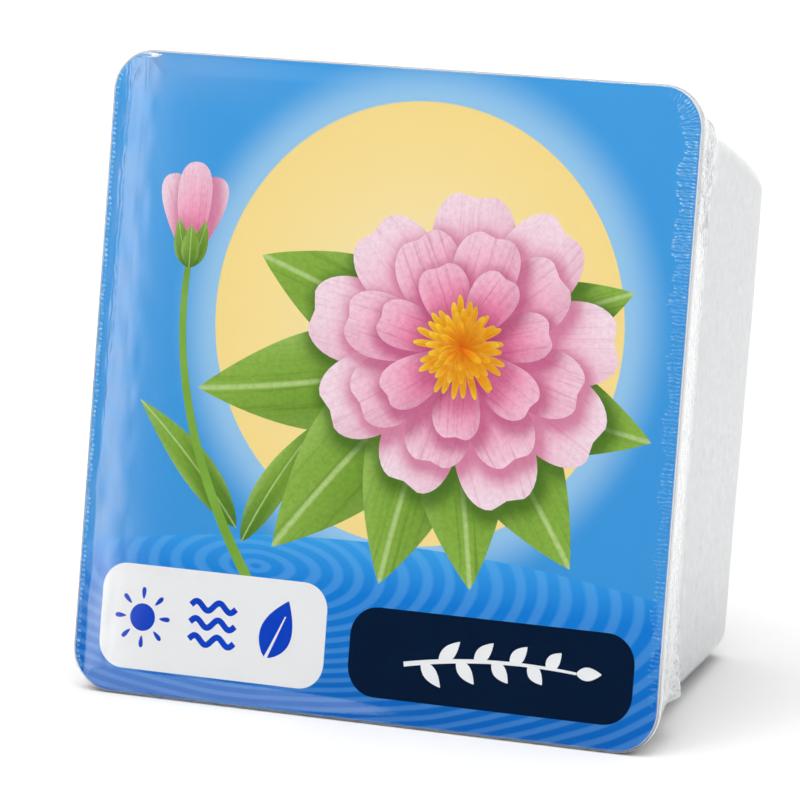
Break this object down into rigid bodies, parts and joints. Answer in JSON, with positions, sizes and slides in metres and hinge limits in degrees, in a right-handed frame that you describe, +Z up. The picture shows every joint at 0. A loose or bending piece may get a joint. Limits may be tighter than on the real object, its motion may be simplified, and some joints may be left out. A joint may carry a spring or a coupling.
{
  "type": "shrink-wrapped square tub with printed card lid",
  "caption": "Tapered square plastic tub closed by a round-cornered printed card and held shut by clear shrink film, leaning back on its lower edges.",
  "frame": {"origin": "middle of the bounding box at floor level", "axes": "+Z up, +X to the right of someone facing the card, +Y from the card towards the tub's base; the card faces -Y and leans back about 10.6 degrees"},
  "size_m": [0.191, 0.1444, 0.1925],
  "materials": {
    "tub_plastic": "moulded white polypropylene, satin",
    "printed_card": "coated board printed on its face",
    "clear_film": "clear heat-shrunk polyolefin film, glossy, puckered at the edges"
  },
  "bodies": {
    "root": {"tub": "tub_plastic", "card_lid": "printed_card", "shrink_film": "clear_film"}
  },
  "joints": []
}
